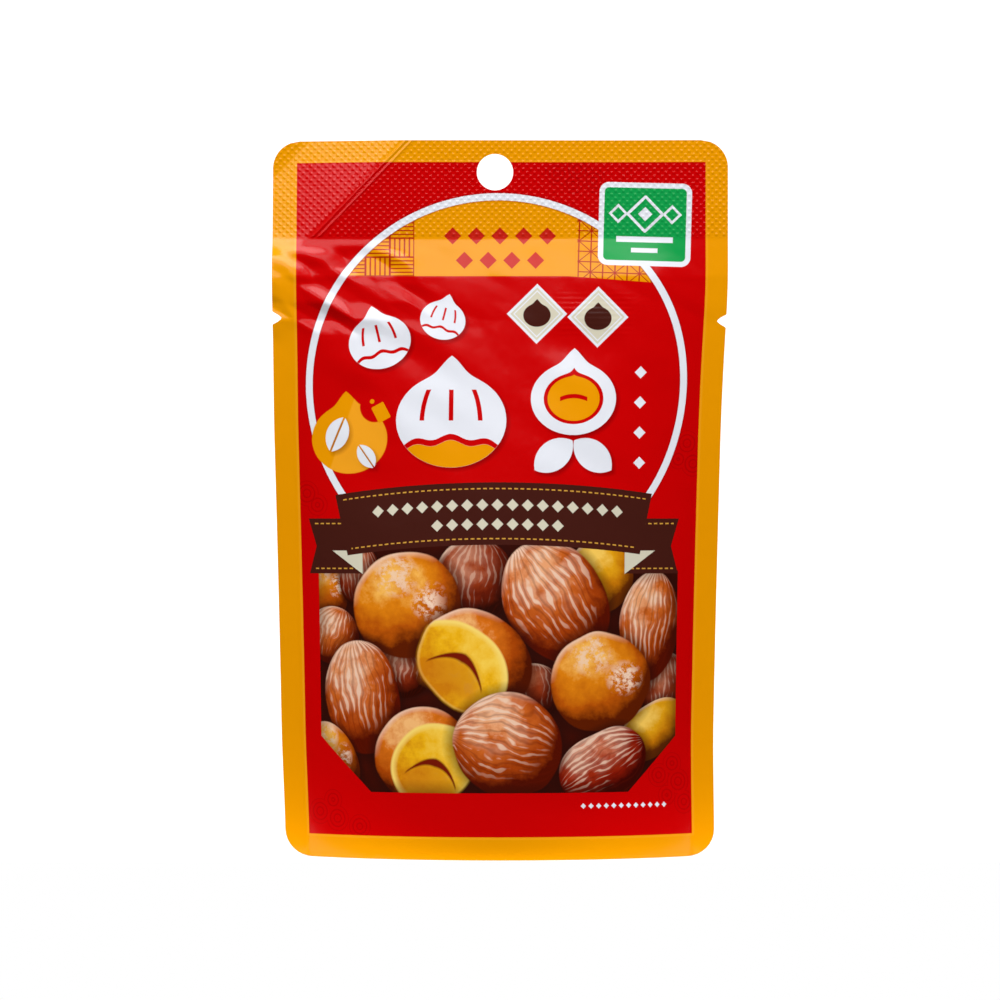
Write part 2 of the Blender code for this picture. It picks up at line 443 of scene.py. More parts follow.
def film_piece(name, side, materials, region=None):
    """The front or back film as a thin closed wall. region gives, for points of flat film in
    millimetres, the number of the material that prints them."""
    across, up, kept = film_grid()
    place = film_place(across, up, side)
    faces = grid_faces(*across.shape, kept)
    if side > 0:
        faces = faces[:, ::-1]
    flat = np.stack([-side * across, up], axis=-1).reshape(-1, 2) / MM
    inward = np.array([0.0, -side * FILM_THICKNESS, 0.0])
    points, walls = closed_shell(place.reshape(-1, 3), faces, inward)
    film = np.concatenate([flat, flat])
    middles = film[walls].mean(axis=1)
    numbers = region(middles[:, 0], middles[:, 1]) if region else None
    mesh_piece(name, points, walls, film, materials, numbers)


def gusset_piece(material):
    """The gusset film: up the inside of one rim, across as a low vault with its old fold line
    along the middle, and down the other rim. It climbs toward its two tips."""
    shares = np.linspace(-GUSSET_REACH, GUSSET_REACH, 121)
    across = shares * BELLY_HALF_WIDTH
    arch = 1 - shares**2
    x = across * (1 - 2 / 3 * (BASE_BULGE / BELLY_HALF_WIDTH) ** 2 * shares**2)
    tip = np.maximum(np.abs(shares) - GUSSET_TIP_START, 0) / (1 - GUSSET_TIP_START)
    ceiling = GUSSET_CEILING + GUSSET_TIP_RISE * tip**2
    half_depth = np.maximum(belly_lift(ceiling) * arch - GUSSET_CLEARANCE, GUSSET_LEAST_DEPTH)
    bend = np.minimum(GUSSET_ROUND, 0.45 * half_depth)
    wall = np.linspace(0, 1, 6)[:, None] * (ceiling - bend) + GUSSET_ABOVE_FLOOR
    beside_film = belly_lift(wall) * arch - GUSSET_CLEARANCE
    wall_y = np.clip(beside_film, GUSSET_LEAST_DEPTH, half_depth)
    turn = np.linspace(0, np.pi / 2, 8)[1:, None]
    turn_y = half_depth - bend * (1 - np.cos(turn))
    turn_z = ceiling - bend + bend * np.sin(turn) + GUSSET_ABOVE_FLOOR
    level = np.linspace(1, 0, 12)[1:, None]
    level_y = (half_depth - bend) * level
    fold_line = GUSSET_FOLD * np.exp(-((level_y / GUSSET_FOLD_WIDTH) ** 2))
    sag = GUSSET_SAG * (1 - level**2) * (1 - tip**2) - fold_line
    level_z = ceiling + GUSSET_ABOVE_FLOOR - sag
    half_y = np.concatenate([wall_y, turn_y, level_y])
    half_z = np.concatenate([wall, turn_z, level_z])
    y = np.concatenate([-half_y, half_y[-2::-1]])
    z = np.concatenate([half_z, half_z[-2::-1]])
    place = np.stack([np.broadcast_to(x, y.shape), y, z], axis=-1)
    offset = surface_normals(place).reshape(-1, 3) * GUSSET_THICKNESS
    faces = grid_faces(*y.shape)[:, ::-1]
    points, walls = closed_shell(place.reshape(-1, 3), faces, offset)
    flat = place[..., :2].reshape(-1, 2) / MM
    mesh_piece("gusset_film", points, walls, np.concatenate([flat, flat]), [material])


# Printing with nodes

class Ink:
    """A number that varies over the print. Its arithmetic adds Math nodes."""

    def __init__(self, tree, socket):
        self.tree = tree
        self.socket = socket

    def math(self, operation, *others, clamp=False):
        """A Math node on this number and the others."""
        node = self.tree.nodes.new("ShaderNodeMath")
        node.operation = operation
        node.use_clamp = clamp
        for slot, value in zip(node.inputs, (self, *others)):
            feed(self.tree, slot, value)
        return Ink(self.tree, node.outputs[0])

    def __add__(self, other):
        return self.math("ADD", other)

    def __sub__(self, other):
        return self.math("SUBTRACT", other)

    def __rsub__(self, other):
        return self.math("MULTIPLY_ADD", -1.0, other)

    def __mul__(self, other):
        return self.math("MULTIPLY", other)

    def __neg__(self):
        return self.math("MULTIPLY", -1.0)

    def __abs__(self):
        return self.math("ABSOLUTE")

    def at_most(self, other):
        """The smaller of two. Of distances, the distance to both shapes joined."""
        return self.math("MINIMUM", other)

    def at_least(self, other):
        """The larger of two. Of distances, the distance to what the shapes share."""
        return self.math("MAXIMUM", other)

    def scaled(self, factor, plus):
        """The number times a factor, plus another."""
        return self.math("MULTIPLY_ADD", factor, plus)

    def share(self, factor, plus):
        """The number scaled and moved, and held between 0 and 1."""
        return self.math("MULTIPLY_ADD", factor, plus, clamp=True)

    def repeat(self, pitch):
        """Distance from the middle of the nearest repeat, 0 to half a pitch."""
        return self.math("PINGPONG", pitch / 2)


class Spot:
    """A point of the print, as the output of a vector node."""

    def __init__(self, tree, socket):
        self.tree = tree
        self.socket = socket
        self.parts = None

    def vector(self, operation, other=None, scale=None):
        """A Vector Math node on this point and another. Gives a number where that node does."""
        node = self.tree.nodes.new("ShaderNodeVectorMath")
        node.operation = operation
        feed(self.tree, node.inputs[0], self)
        if other is not None:
            feed(self.tree, node.inputs[1], other)
        if scale is not None:
            node.inputs["Scale"].default_value = scale
        if operation in ("LENGTH", "DISTANCE", "DOT_PRODUCT"):
            return Ink(self.tree, node.outputs["Value"])
        return Spot(self.tree, node.outputs["Vector"])

    def placed(self, centre, turn=0.0, size=(1.0, 1.0)):
        """The point as seen from a shape's own centre, turned and sized to it."""
        settings = {
            "Vector": self,
            "Location": (*centre, 0),
            "Rotation": (0, 0, math.radians(turn)),
            "Scale": (*size, 1),
        }
        node = add_node(self.tree, "ShaderNodeMapping", settings)
        node.vector_type = "TEXTURE"
        return Spot(self.tree, node.outputs["Vector"])

    def axes(self):
        """The point's two coordinates, split only once."""
        if self.parts is None:
            node = add_node(self.tree, "ShaderNodeSeparateXYZ", {"Vector": self})
            self.parts = Ink(self.tree, node.outputs["X"]), Ink(self.tree, node.outputs["Y"])
        return self.parts

    def from_point(self, centre):
        """Distance from a point."""
        return self.vector("DISTANCE", (*centre, 0))

    def along(self, direction):
        """How far the point lies in a direction."""
        return self.vector("DOT_PRODUCT", (*direction, 0))

    def past_line(self, point, turn):
        """Signed distance past a line through point, toward the direction turn in degrees."""
        aim = math.cos(math.radians(turn)), math.sin(math.radians(turn))
        return self.along(aim) - (aim[0] * point[0] + aim[1] * point[1])


def feed(tree, slot, value):
    """Link a value's socket to a slot, or set the slot to a constant."""
    if hasattr(value, "socket"):
        tree.links.new(value.socket, slot)
    else:
        slot.default_value = value


def add_node(tree, kind, inputs):
    """A new node with its inputs fed by name."""
    node = tree.nodes.new(kind)
    for slot, value in inputs.items():
        feed(tree, node.inputs[slot], value)
    return node


def rectangle(spot, half_width, half_height, radius=0.0):
    """Signed distance to a box about the origin, with rounded corners."""
    straight = half_width - radius, half_height - radius, 0
    beyond = spot.vector("ABSOLUTE").vector("SUBTRACT", straight)
    outside = beyond.vector("MAXIMUM", (0, 0, 0)).vector("LENGTH")
    x, y = beyond.axes()
    return outside + (x.at_least(y).at_most(0) - radius)


def cover(distance, edge=0.1):
    """How much ink lies at a signed distance: all of it inside, none outside, and a slope
    between over the width edge."""
    return distance.share(-1 / edge, 0.5)


class Print:
    """Artwork laid down one ink after another, in millimetres of flat film."""

    def __init__(self, name, ground):
        self.material = bpy.data.materials.new(name)
        self.material.use_nodes = True
        self.tree = self.material.node_tree
        self.shader = self.tree.nodes["Principled BSDF"]
        uv = self.tree.nodes.new("ShaderNodeUVMap")
        uv.uv_map = "film"
        self.spot = Spot(self.tree, uv.outputs["UV"])
        self.colour = ground

    def lay(self, amount, ink):
        """Cover what is printed so far with an ink, by an amount from 0 to 1."""
        node = self.tree.nodes.new("ShaderNodeMix")
        node.data_type = "RGBA"
        feed(self.tree, node.inputs[0], amount)
        feed(self.tree, node.inputs[6], self.colour)
        feed(self.tree, node.inputs[7], ink)
        self.colour = Spot(self.tree, node.outputs[2])

    def noise(self, spot, scale, detail=2.0, roughness=0.5):
        """Soft noise between 0 and 1 at a point."""
        settings = {"Vector": spot, "Scale": scale, "Detail": detail, "Roughness": roughness}
        return Ink(self.tree, add_node(self.tree, "ShaderNodeTexNoise", settings).outputs["Fac"])

    def ramp(self, factor, stops):
        """A colour that runs through stops as the factor goes from 0 to 1."""
        node = add_node(self.tree, "ShaderNodeValToRGB", {"Fac": factor})
        steps = node.color_ramp.elements
        while len(steps) < len(stops):
            steps.new(0.5)
        for step, (place, ink) in zip(steps, stops):
            step.position = place
            step.color = ink
        return Spot(self.tree, node.outputs["Color"])

    def waffle_dots(self):
        """Height of the waffle in millimetres: the product of two cosines, and two fine ridges
        beside the folded corner's crease, above the seal's foot only."""
        x, y = self.spot.axes()
        rows = (y.scaled(-1.0, HEIGHT / MM) * (math.pi * MM / WAFFLE_ROW)).math("COSINE")
        columns = (x * (2 * math.pi * MM / WAFFLE_PITCH)).math("COSINE")
        inside = y.share(2.0, -2.0 * TOP_SEAL_FOOT / MM)
        point = [value / MM for value in CREASE["point"]]
        past = self.spot.past_line(point, CREASE["turn"])
        from_ridge = abs(abs(past + CREASE_RIDGES["beside"]) - CREASE_RIDGES["apart"])
        ridge = cover(from_ridge - CREASE_RIDGES["half_width"], CREASE_RIDGES["soft"])
        dots = rows * columns * (WAFFLE_BUMP / MM)
        return dots.at_least(ridge * CREASE_RIDGES["height"]) * inside

    def ribs(self):
        """Height in millimetres of a patch of faint level ribs under the seal, at the right."""
        patch = rectangle(self.spot.placed(RIBS["centre"]), *RIBS["half"])
        wave = (self.spot.axes()[1] * (2 * math.pi / RIBS["pitch"])).math("COSINE")
        return wave * cover(patch, RIBS["soft"]) * RIBS["height"]

    def finish_film(self, *pressed):
        """Glossy laminate over the print, with the fine ripple of film under tension and what is
        pressed into it, as heights in millimetres."""
        feed(self.tree, self.shader.inputs["Base Color"], self.colour)
        height = self.noise(self.spot, RIPPLE_SCALE, 2.0) * RIPPLE_HEIGHT
        for relief in pressed:
            height = height + relief
        settings = {"Strength": 1.0, "Distance": MM, "Height": height}
        bump = add_node(self.tree, "ShaderNodeBump", settings)
        self.tree.links.new(bump.outputs["Normal"], self.shader.inputs["Normal"])
        rough = self.noise(self.spot, SMEAR_SCALE, 3.0).scaled(SMEAR, LEAST_ROUGHNESS)
        feed(self.tree, self.shader.inputs["Roughness"], rough)
        self.shader.inputs["Specular IOR Level"].default_value = FILM_SPECULAR
        return self.material


# The artwork, in millimetres: across from the middle, and up from the bottom edge

FIELD_CENTRE = (0.2, 78.6)
FIELD_HALF = (44.9, 73.6)
RING_CENTRE = (-0.4, 103.0)
RING_RADIUS = 41.6
RING_WIDTH = 1.55
BAND_FOOT = 127.1
BAND_DROP = 0.075
BAND_DROP_START = 15.0
RIBBON_MIDDLE = -0.9
RIBBON_TOP = 81.9
RIBBON_BOTTOM = 68.3
RIBBON_BOW = 0.0021
TAIL_TOP = 74.0
TAIL_BOTTOM = 62.0
TAIL_INNER = 29.1
TAIL_TIP = 40.0
TAIL_FOLD_SLOPE = 0.72
STITCH_PITCH = 1.36
STITCH_GAP = 0.4
STITCH_HALF = 0.14
PICTURE_CENTRE = (0.2, 42.0)
PICTURE_HALF = (40.7, 27.5)
PICTURE_CHAMFER = 12.0
DIAGONAL = 0.7071

# Where the front film's print changes from one material to the next
UPPER_FOOT = 82.7
TOP_FOOT = 126.0
PICTURE_SPLIT = 3.0
TOP_DROP_START = 22.0
PLAIN_TOP = 61.0
PLAIN_MARGIN = 0.8


# Clouds, each a group of circles: middle and radius
TOP_CLOUDS = (
    ((12.5, 149.8, 2.6), (17.0, 150.6, 2.9), (20.6, 148.2, 2.6), (16.0, 147.6, 2.3)),
)
UPPER_CLOUDS = (
    ((42.5, 90.5, 2.8), (44.0, 86.0, 2.8), (40.5, 87.0, 2.2)),
)
LOWER_CLOUDS = (
    ((-43, 79.5, 2.8), (-40.5, 77.0, 2.4)),
    ((-41.5, 10.0, 2.8), (-38.0, 12.6, 2.3), (-37.0, 8.6, 2.8), (-31.5, 7.0, 2.6)),
    ((36.5, 18.0, 2.6), (40.0, 20.5, 2.4), (41.5, 16.5, 2.8), (43.0, 12.0, 2.6), (38.5, 13.6, 2.2)),
)
BACK_CLOUDS = (
    ((-40.5, 10.0, 2.8), (-36.5, 12.0, 2.4), (-35.0, 8.6, 2.6)),
    ((38, 149, 2.8), (34, 147.4, 2.4), (40.5, 145.4, 2.5)),
)


def clouds(art, field, bubbles):
    """Faint line-drawn cloud: contours at even steps inside the outline of a few circles."""
    nearest = None
    for x, y, radius in bubbles:
        depth = art.spot.from_point((x, y)) - radius
        nearest = depth if nearest is None else nearest.at_most(depth)
    line = cover(nearest.repeat(0.95) - 0.1, 0.3)
    inside = cover(nearest.at_least(field))
    art.lay(line * inside * 0.55, DEEP_RED)


def ground(art, cloud_groups):
    """Amber border, red field and its clouds."""
    field = rectangle(art.spot.placed(FIELD_CENTRE), *FIELD_HALF)
    art.lay(cover(field), RED)
    art.lay(cover(abs(field - 0.3) - 0.2, 0.3) * 0.3, PALE_AMBER)
    for bubbles in cloud_groups:
        clouds(art, field, bubbles)


def ring(art):
    """The white ring."""
    from_centre = art.spot.from_point(RING_CENTRE)
    band = abs(from_centre - RING_RADIUS)
    art.lay(cover(band - RING_WIDTH / 2 - 0.2, 0.4) * 0.6, DEEP_RED)
    art.lay(cover(band - RING_WIDTH / 2), WHITE)
    return from_centre


def basket_weave(art, inside):
    """Blocks of four red lines, laid by turns along and across."""
    cell = art.spot.placed((-18.8, BAND_FOOT), 0, (5.35, 4.2))
    x, y = cell.axes()
    odd = (x.math("FLOOR") + y.math("FLOOR")).math("PINGPONG", 1.0)
    lines = y.repeat(0.2) * odd + x.repeat(0.2) * (1.0 - odd)
    line = cover(lines - 0.032, 0.03)
    edge = cover(x.repeat(1.0).at_most(y.repeat(1.0)) - 0.042, 0.03)
    left = cover(art.spot.past_line((-18.8, BAND_FOOT), 0))
    art.lay(line.at_least(edge) * left * inside, LINE_RED)


def star_lattice(art, inside):
    """Fine red lattice of squares with both diagonals."""
    cell = art.spot.placed((19.8, 128.0), -2.0, (5.38, 4.55))
    x, y = cell.axes()
    square = x.repeat(0.5).at_most(y.repeat(0.5))
    slanted = (x + y).repeat(1.0).at_most((x - y).repeat(1.0))
    line = cover(square.at_most(slanted) - 0.028, 0.03)
    right = cover(-art.spot.past_line((17.0, BAND_FOOT), 0))
    art.lay(line * right * inside, LINE_RED)


def amber_segment(art, from_ring_centre):
    """The amber top of the ring with its two patterned ends."""
    x, y = art.spot.axes()
    foot = (x - BAND_DROP_START).at_least(0).scaled(-BAND_DROP, BAND_FOOT)
    inside = cover((from_ring_centre - (RING_RADIUS - RING_WIDTH / 2)).at_least(foot - y))
    art.lay(inside, AMBER)
    basket_weave(art, inside)
    star_lattice(art, inside)


def diamond(art, centre, half):
    """A cream diamond with a white border and a thin inner line, and a small brown chestnut in
    its middle."""
    depth = rectangle(art.spot.placed(centre, 45), half / math.sqrt(2), half / math.sqrt(2))
    art.lay(cover(depth), WHITE)
    art.lay(cover(depth + 0.55), CREAM)
    art.lay(cover(abs(depth + 1.1) - 0.12), WHITE)
    outline = chestnut_outline(art.spot.placed((centre[0], centre[1] - 0.3), 0, (3.0, 3.0)))
    art.lay(cover(outline, 0.03), BROWN)


def chestnut_outline(spot):
    """Signed distance, in the shape's own units, to a chestnut: a flattened disc joined softly
    to a pointed leaf made by two circles."""
    disc = spot.vector("MULTIPLY", (1.0, 1.18, 0)).vector("LENGTH") - 1.0
    leaf = spot.from_point((-0.5, 0.5)).at_least(spot.from_point((0.5, 0.5))) - 0.84
    return disc.math("SMOOTH_MIN", leaf, 0.3)


def leaf_outline(spot):
    """Signed distance, in the shape's own units, to a pointed leaf made by two circles."""
    return spot.from_point((-0.45, 0)).at_least(spot.from_point((0.45, 0))) - 1.0


def drop_shadow(art, outline_of, centre, turn, half_width, strength=0.62):
    """A soft dark copy of a shape, a little to the lower right."""
    local = art.spot.placed((centre[0] + 0.55, centre[1] - 0.6), turn, (half_width, half_width))
    art.lay(cover(outline_of(local), 1.3 / half_width) * strength, SHADOW_RED)
    return art.spot.placed(centre, turn, (half_width, half_width))


def whole_chestnut(art, centre, turn, half_width, scar):
    """A plain chestnut: a white body with three lines down it and its scar below a wavy gap."""
    local = drop_shadow(art, chestnut_outline, centre, turn, half_width)
    outline = chestnut_outline(local)
    soft = 0.1 / half_width
    art.lay(cover(outline, soft), WHITE)
    x, y = local.axes()
    wave = (x * 9.5).math("COSINE").scaled(0.045, -0.34)
    below = wave - (x * x).scaled(0.2, y)
    art.lay(cover(outline.at_least(0.055 - below), soft), scar)
    art.lay(cover(outline.at_least(abs(below) - 0.055), soft), RED)
    bow = (1.05 - (y + 0.1) * (y + 0.1)).at_least(0).math("SQRT") * 0.52
    line = abs(abs(x).math("SUBTRACT", bow)).at_most(abs(x)) - 0.042
    art.lay(cover(line.at_least(abs(y - 0.28) - 0.28), soft), RED)


def opened_chestnut(art, centre, half_width):
    """A peeled chestnut in a thick white shell line, above two leaves."""
    for side in (-1, 1):
        middle = centre[0] + side * 0.46 * half_width, centre[1] - 1.32 * half_width
        local = drop_shadow(art, leaf_outline, middle, 52 * side, 5.9)
        art.lay(cover(leaf_outline(local), 0.02), WHITE)
    local = drop_shadow(art, chestnut_outline, centre, 0, half_width)
    outline = chestnut_outline(local)
    soft = 0.1 / half_width
    art.lay(cover(outline, soft), WHITE)
    art.lay(cover(outline + 0.3, soft), RED)
    art.lay(cover(outline + 0.39, soft), AMBER)
    x, y = local.axes()
    cleft = abs(y - (x * x).scaled(-0.7, 0.06)) - 0.05
    art.lay(cover(cleft.at_least(abs(x) - 0.32), soft), RED)


def badge(art):
    """The amber chestnut with a broken piece beside it."""
    local = art.spot.placed((-32.9, 91.4), 4, (8.6, 8.9))
    outline = chestnut_outline(local)
    bite = local.from_point((0.72, 0.74)) - 0.38
    shape = outline.at_least(-bite)
    art.lay(cover(shape, 0.02), AMBER)
    art.lay(cover(shape.at_least(local.past_line((-0.2, 0.1), 155)), 0.04) * 0.5, PALE_AMBER)
    piece = rectangle(art.spot.placed((-25.7, 97.2), 28), 1.5, 1.9, 0.3)
    crumb = art.spot.from_point((-27.7, 99.6)) - 0.5
    art.lay(cover(piece.at_most(crumb)), AMBER)
    for centre, turn, size in (((-35.6, 92.4), -24, 4.6), ((-29.0, 87.6), 35, 3.4)):
        local = drop_shadow(art, leaf_outline, centre, turn, size, 0.5)
        leaf = leaf_outline(local)
        vein = abs(local.axes()[0]) - 0.05
        art.lay(cover(leaf.at_least(-vein), 0.1 / size), WHITE)


def panel(art):
    """The green panel with its white border and plain white marks."""
    local = art.spot.placed((31.8, 138.5), -1.6)
    edge = rectangle(local, 10.15, 9.15, 2.1)
    art.lay(cover(edge), WHITE)
    art.lay(cover(edge + 1.15), GREEN)
    x, y = local.axes()
    mirrored = abs(x)
    lozenge = rectangle(local.placed((0, 2.3), 45), 3.0, 3.0, 0.4)
    art.lay(cover(abs(lozenge + 0.3) - 0.3), WHITE)
    art.lay(cover(lozenge + 1.9), WHITE)
    beside = abs(mirrored - 5.9) + abs(y - 2.3)
    art.lay(cover((abs(beside.scaled(DIAGONAL, -1.25)) - 0.26).at_least(-lozenge)), WHITE)
    rules = (mirrored - 6.2).at_least(abs(y + 3.3) - 0.62)
    foot = (mirrored - 2.9).at_least(abs(y + 5.7) - 0.5)
    art.lay(cover(rules.at_most(foot)), WHITE)


def lozenge_row(art, centre, turn, count, pitch, half, ink, distance=None):
    """A row of lozenges at an even pitch. distance, where given, is the row's own curved
    height instead of a straight one."""
    x, y = art.spot.placed(centre, turn).axes()
    height = abs(y) if distance is None else abs(distance - centre[1])
    phase = x if count % 2 else x + pitch / 2
    shape = phase.repeat(pitch) + height - half
    art.lay(cover(shape.scaled(DIAGONAL, 0.0).at_least(abs(x) - count * pitch / 2)), ink)


def top_print():
    """The front film's seal and the amber top of the ring."""
    art = Print("front_top_print", AMBER)
    ground(art, TOP_CLOUDS)
    amber_segment(art, art.spot.from_point(RING_CENTRE))
    ring(art)
    lozenge_row(art, (0.0, 136.0), 0, 5, 5.2, 1.9, MARK_RED)
    lozenge_row(art, (0.0, 130.6), 0, 4, 5.2, 1.9, MARK_RED)
    panel(art)
    return art.finish_film(art.waffle_dots())


def upper_print():
    """The front film between the amber top and the ribbon."""
    art = Print("front_upper_print", AMBER)
    ground(art, UPPER_CLOUDS)
    ring(art)
    diamond(art, (8.2, 118.8), 6.6)
    diamond(art, (21.6, 118.1), 6.7)
    whole_chestnut(art, (-10.2, 95.4), 0, 12.1, AMBER)
    opened_chestnut(art, (16.6, 100.2), 9.4)
    whole_chestnut(art, (-26.2, 112.6), 14, 6.9, WHITE)
    whole_chestnut(art, (-12.4, 117.4), -14, 5.0, WHITE)
    lozenge_row(art, (31.4, 96.1), 90, 4, 6.6, 1.35, WHITE)
    badge(art)
    return art.finish_film(art.ribs())


# The pictured nuts from the rearmost forward: middle and half lengths, and turn in degrees
NUTS = (
    {"at": (-38.4, 58.6), "size": (5.0, 7.6), "turn": 8, "kind": "smooth"},
    {"at": (-30.5, 61.0), "size": (5.0, 7.0), "turn": 0, "kind": "dark"},
    {"at": (-5.0, 60.5), "size": (8.8, 9.6), "turn": -6, "kind": "dark"},
    {"at": (22.6, 61.5), "size": (7.6, 8.2), "turn": 0, "kind": "yellow"},
    {"at": (38.5, 36.0), "size": (6.0, 9.0), "turn": 0, "kind": "dark"},
    {"at": (-20.5, 41.0), "size": (7.0, 6.0), "turn": 0, "kind": "dark"},
    {"at": (8.0, 36.5), "size": (7.0, 6.0), "turn": 0, "kind": "dark"},
    {"at": (-37.2, 48.4), "size": (6.4, 6.2), "turn": -25, "kind": "ridged"},
    {"at": (-20.1, 55.2), "size": (12.4, 11.6), "turn": 20, "kind": "smooth"},
    {"at": (34.4, 50.6), "size": (7.4, 12.2), "turn": -6, "kind": "ridged"},
    {"at": (12.9, 55.8), "size": (11.2, 14.4), "turn": 34, "kind": "ridged"},
    {"at": (35.0, 27.8), "size": (9.4, 5.8), "turn": 35, "kind": "yellow"},
    {"at": (-30.3, 35.2), "size": (9.0, 12.6), "turn": 10, "kind": "ridged"},
    {"at": (-37.6, 21.4), "size": (6.0, 9.0), "turn": 30, "kind": "smooth"},
    {"at": (22.9, 38.5), "size": (11.7, 11.1), "turn": 12, "kind": "smooth"},
    {"at": (23.2, 20.2), "size": (7.8, 11.0), "turn": -62, "kind": "red"},
    {"at": (-5.0, 42.9), "size": (13.2, 11.0), "turn": -30, "kind": "cut", "flesh": (-0.26, -0.34)},
    {"at": (-16.2, 22.4), "size": (11.2, 11.0), "turn": -18, "kind": "cut", "flesh": (0.36, -0.16)},
    {"at": (2.2, 24.9), "size": (11.6, 12.1), "turn": 78, "kind": "ridged"},
)

# Each kind's browns, from its shade to its light, and where on that scale they lie
NUT_SHADES = {
    "smooth": ((92, 28, 2), (184, 84, 8), (222, 128, 16), (248, 184, 84)),
    "ridged": ((84, 16, 2), (164, 62, 10), (202, 98, 34), (234, 162, 112)),
    "dark": ((44, 8, 2), (102, 26, 6), (144, 52, 20), (180, 96, 62)),
    "red": ((64, 6, 2), (136, 24, 6), (168, 50, 20), (206, 116, 84)),
    "yellow": ((104, 46, 4), (196, 118, 8), (228, 162, 22), (246, 200, 90)),
    "cut": ((78, 20, 2), (168, 68, 6), (214, 110, 22), (244, 184, 116)),
}
NUT_SHADE_STOPS = (0.1, 0.46, 0.78, 1.0)
PICTURE_LIGHT = (-0.3, 0.56, 0.77)
RIDGE_WAVE = {"Scale": 1.7, "Distortion": 7.5, "Detail": 2.0, "Detail Scale": 1.3}
NUT_SHEEN = srgb(242, 208, 182)
FURROW_BROWN = srgb(96, 20, 4)
FLESH_RIM = srgb(248, 214, 110)
FLESH_SHADES = ((0.25, srgb(208, 128, 10)), (0.5, srgb(238, 178, 22)), (0.85, srgb(248, 208, 84)))
HOLLOW_BROWN = srgb(196, 104, 20)
CLEFT_BROWN = srgb(116, 24, 6)


def ridges(art, local, lit, patchy, strength):
    """Pale wavy lines down a nut that meet at its ends, thick and thin by turns and brightest
    where it is lit, with a dark furrow beside each. strength is how much of them shows, and is 0
    off the nut."""
    x, y = local.axes()
    pinch = (1.0 - y * y).at_least(0.12).math("SQRT")
    settings = {"X": x.math("DIVIDE", pinch), "Y": y * 0.75}
    around = add_node(art.tree, "ShaderNodeCombineXYZ", settings)
    settings = {"Vector": Spot(art.tree, around.outputs["Vector"]), **RIDGE_WAVE}
    wave = add_node(art.tree, "ShaderNodeTexWave", settings)
    height = Ink(art.tree, wave.outputs["Fac"])
    shine = lit.share(2.2, -1.25)
    art.lay(shine * patchy * strength * 0.5, NUT_SHEEN)
    furrow = height.share(-4.0, 1.0)
    art.lay(furrow * strength * 0.42, FURROW_BROWN)
    crest = (height + patchy * 0.45).share(4.0, -4.0)
    shown = lit.share(1.6, -0.3)
    art.lay(crest * shown * strength * 0.9, NUT_SHEEN)


def dusty_patch(art, local, centre, radius, flakes):
    """A pale flaky patch on a nut's skin: a disc of flakes. flakes is 0 off the nut."""
    inside = local.from_point(centre).share(-5.0, 5.0 * radius + 0.5)
    art.lay(inside * flakes, NUT_SHEEN)


def nut(art, loose, skin, at, size, turn, kind, flesh=None):
    """A pictured chestnut: an ellipse shaded as half an ellipsoid lit from above, its shade run
    through browns, with a pale edge toward the light, over a soft dark edge on whatever lies
    behind it. skin holds the noises that all nuts share, and flesh is the middle of a cut nut's
    yellow face, in the nut's own units."""
    local = loose.placed(at, turn, size)
    square = local.vector("DOT_PRODUCT", local)
    art.lay(square.share(-2.4, 3.4) * 0.6, DARK_BROWN)
    height = (1.0 - square).at_least(0).math("SQRT")
    angle = math.radians(turn)
    light = (
        PICTURE_LIGHT[0] * math.cos(angle) + PICTURE_LIGHT[1] * math.sin(angle),
        -PICTURE_LIGHT[0] * math.sin(angle) + PICTURE_LIGHT[1] * math.cos(angle),
    )
    lit = height.scaled(PICTURE_LIGHT[2], local.along(light))
    shade = (lit + skin["grain"].scaled(0.75, -0.37)).scaled(0.95, 0.02)
    shades = [srgb(*shade_ink) for shade_ink in NUT_SHADES[kind]]
    body = square.share(-18.0, 18.0)
    art.lay(body, art.ramp(shade, list(zip(NUT_SHADE_STOPS, shades))))
    edge = square.share(5.0, -3.8)
    toward_light = local.along(light).share(3.0, -0.8)
    art.lay(edge * toward_light * body * 0.9, NUT_SHEEN)
    if kind in ("ridged", "red"):
        ridges(art, local, lit, skin["patchy"], body * 0.85)
    if kind == "dark":
        ridges(art, local, lit, skin["patchy"], body * 0.35)
    if kind == "smooth":
        upright = loose.placed(at, 0, size)
        dusty_patch(art, upright, (-0.2, 0.55), 0.36, skin["flakes"] * body * 0.75)
        dusty_patch(art, upright, (0.44, 0.08), 0.3, skin["flakes"] * body)
    if kind == "cut":
        cut_face(art, local, skin["grain"], flesh)


def cut_face(art, local, grain, middle):
    """The yellow flesh of a cut nut: most of the nut's outline, with a pale rim on the side of
    its skin, and a dark arched cleft above a browner hollow."""
    outline = local.vector("LENGTH") - 0.98
    sliced = local.placed(middle, 0, (0.96, 0.92))
    slice_edge = sliced.vector("LENGTH") - 1.0
    art.lay(cover(outline.at_least(slice_edge), 0.04), FLESH_RIM)
    x, y = local.placed((middle[0] * 0.7, -0.16)).axes()
    tone = (y * 0.3 + x * 0.25 + grain).scaled(0.9, 0.06)
    art.lay(cover(outline.at_least(slice_edge + 0.09), 0.1), art.ramp(tone, FLESH_SHADES))
    arch = (x * x).scaled(-1.5, 0.12)
    hollow = (y - arch).at_least(-y - 0.62).at_least(abs(x) - 0.52).at_least(outline)
    art.lay(cover(hollow, 0.3) * grain, HOLLOW_BROWN)
    thickness = abs(x).scaled(-0.14, 0.09)
    cleft = abs(y - arch).math("SUBTRACT", thickness).at_least(abs(x) - 0.5).at_least(outline)
    art.lay(cover(cleft, 0.05), CLEFT_BROWN)


